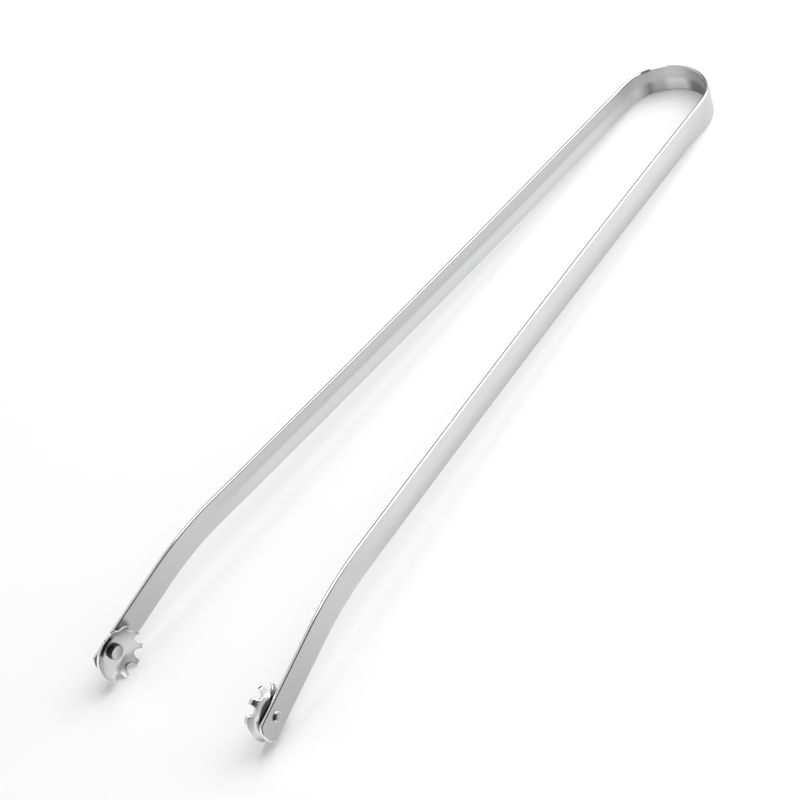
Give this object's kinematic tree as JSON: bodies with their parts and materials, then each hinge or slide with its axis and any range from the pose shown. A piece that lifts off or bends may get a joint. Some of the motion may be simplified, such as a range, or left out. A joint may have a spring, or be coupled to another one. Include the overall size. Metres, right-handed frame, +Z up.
{
  "type": "kitchen tongs",
  "caption": "Long spring tongs bent from one flat steel strip, with cranked tips that each carry a round scalloped gripping dish on a rivet.",
  "frame": {"origin": "On the floor under the middle of the tongs, as they lie on a table", "axes": "+Y from the tips towards the bow, +X towards the right arm, +Z up"},
  "size_m": [0.1022, 0.4414, 0.033],
  "materials": {
    "strip_steel": "satin",
    "dish_steel": "polished",
    "rivet_steel": "polished"
  },
  "bodies": {
    "bow": {"bow": "strip_steel"},
    "left_arm": {"left_arm": "strip_steel", "left_rivet": "rivet_steel"},
    "right_arm": {"right_arm": "strip_steel", "right_rivet": "rivet_steel"},
    "left_dish": {"left_dish": "dish_steel"},
    "right_dish": {"right_dish": "dish_steel"}
  },
  "joints": [
    {"name": "left_arm_flex", "type": "hinge", "parent": "bow", "child": "left_arm", "pos_m": [-0.02308, 0.19656, 0.00872], "axis": [0, 0.0512, 0.9987], "range_deg": [0, 5.98], "stiffness_Nm_per_rad": 13},
    {"name": "right_arm_flex", "type": "hinge", "parent": "bow", "child": "right_arm", "pos_m": [0.02308, 0.19656, 0.00872], "axis": [0, 0.0512, 0.9987], "range_deg": [-5.98, 0], "stiffness_Nm_per_rad": 13},
    {"name": "left_dish_turn", "type": "hinge", "parent": "left_arm", "child": "left_dish", "pos_m": [-0.04847, -0.20771, 0.0132], "axis": [0.9971, -0.0766, 0.0039], "continuous": true},
    {"name": "right_dish_turn", "type": "hinge", "parent": "right_arm", "child": "right_dish", "pos_m": [0.04847, -0.20771, 0.0132], "axis": [-0.9971, -0.0766, 0.0039], "continuous": true}
  ],
  "couplings": [
    {"joint": "right_arm_flex", "follows": "left_arm_flex", "ratio": -1}
  ]
}
